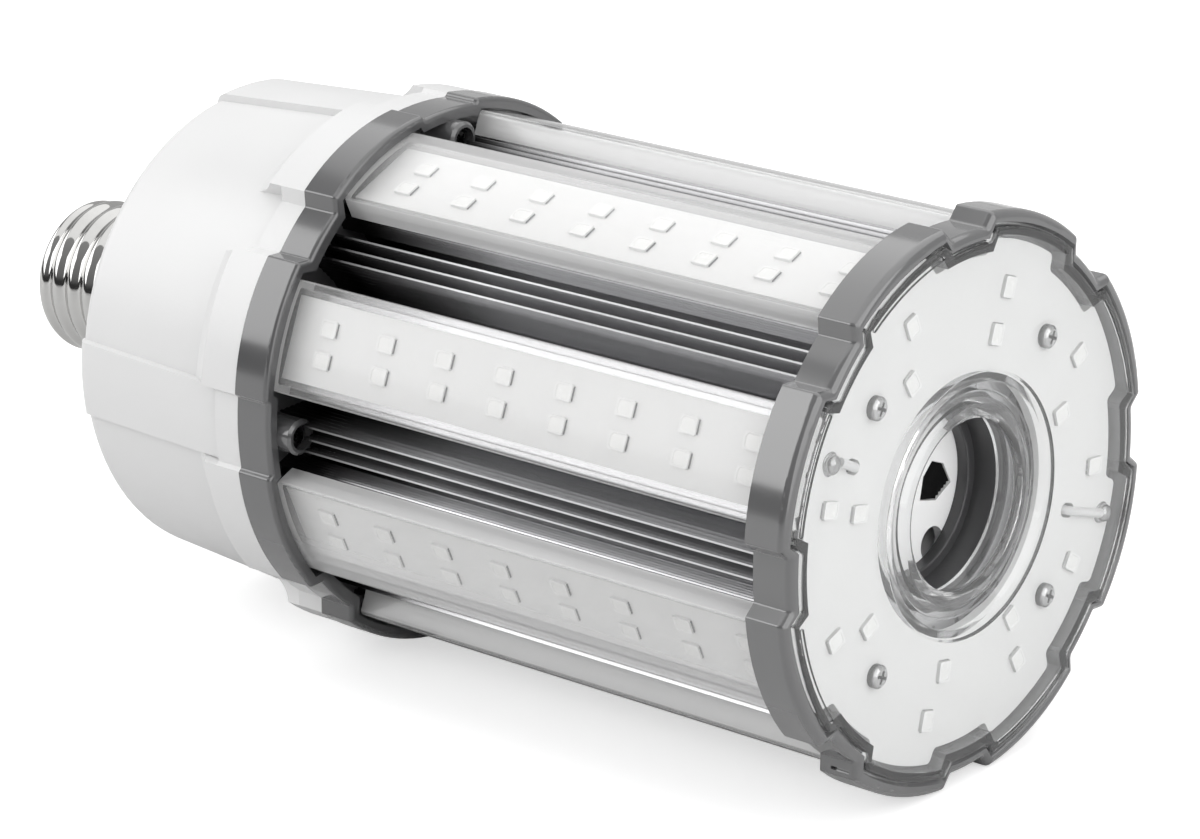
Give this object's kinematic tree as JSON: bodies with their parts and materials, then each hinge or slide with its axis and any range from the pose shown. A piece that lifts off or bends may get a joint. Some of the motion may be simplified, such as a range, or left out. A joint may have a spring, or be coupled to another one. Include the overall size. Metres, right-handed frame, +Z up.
{
  "type": "led retrofit lamp",
  "caption": "Cylindrical LED retrofit lamp with a screw base: finned aluminium body with covered light strips between two lobed trim rings, and a lit end with an open hub.",
  "frame": {"origin": "on the surface that the lamp lies on, midway along its length, under its axis", "axes": "+X along the lamp's axis towards the lit end, -X towards the screw base, +Z up; the lamp lies on two lobes of each trim ring"},
  "size_m": [0.1932, 0.0876, 0.0877],
  "materials": {
    "aluminium_extrusion": "bright drawn aluminium with fine lines along its length",
    "ring_plastic": "grey moulded plastic, smooth gloss",
    "housing_plastic": "white moulded plastic, satin",
    "shell_metal": "nickel-plated rolled shell",
    "insulator_black": "black moulded insulator",
    "contact_metal": "plated contact",
    "cover_frosted": "frosted white diffuser",
    "end_cover_clear": "clear moulded cover",
    "board_white": "white solder-resist board",
    "led_chip": "white package with pale yellow phosphor",
    "screw_steel": "plated steel",
    "solder": "solder, bright",
    "lead_white": "white insulated lead",
    "sleeve_dark": "dark grey moulded sleeve",
    "case_white": "white moulded can",
    "circuit_board": "green fibreglass board",
    "ferrite": "dark sintered ferrite",
    "winding_tape": "yellow insulating tape",
    "capacitor_sleeve": "dark shrink sleeve",
    "choke_wire": "enamelled copper wire",
    "rectifier_black": "black epoxy block"
  },
  "bodies": {
    "root": {"base_insulator": "insulator_black", "centre_contact": "contact_metal", "centre_lead": "lead_white", "core_sleeve": "sleeve_dark", "driver_board": "circuit_board", "driver_case": "case_white", "driver_housing": "housing_plastic", "end_board": "board_white", "end_cover": "end_cover_clear", "end_led_chips": "led_chip", "end_screws": "screw_steel", "filter_choke": "choke_wire", "front_ring": "ring_plastic", "heat_sink": "aluminium_extrusion", "housing_screws": "screw_steel", "input_capacitor": "capacitor_sleeve", "lead_live": "lead_white", "lead_return": "lead_white", "led_board_1": "board_white", "led_board_2": "board_white", "led_board_3": "board_white", "led_board_4": "board_white", "led_board_5": "board_white", "led_board_6": "board_white", "led_board_7": "board_white", "led_board_8": "board_white", "output_capacitor": "capacitor_sleeve", "rear_ring": "ring_plastic", "rectifier": "rectifier_black", "screw_shell": "shell_metal", "shell_lead": "lead_white", "side_cover_1": "cover_frosted", "side_cover_2": "cover_frosted", "side_cover_3": "cover_frosted", "side_cover_4": "cover_frosted", "side_cover_5": "cover_frosted", "side_cover_6": "cover_frosted", "side_cover_7": "cover_frosted", "side_cover_8": "cover_frosted", "side_led_chips": "led_chip", "solder_joints": "solder", "transformer_core": "ferrite", "transformer_winding": "winding_tape"}
  },
  "joints": []
}
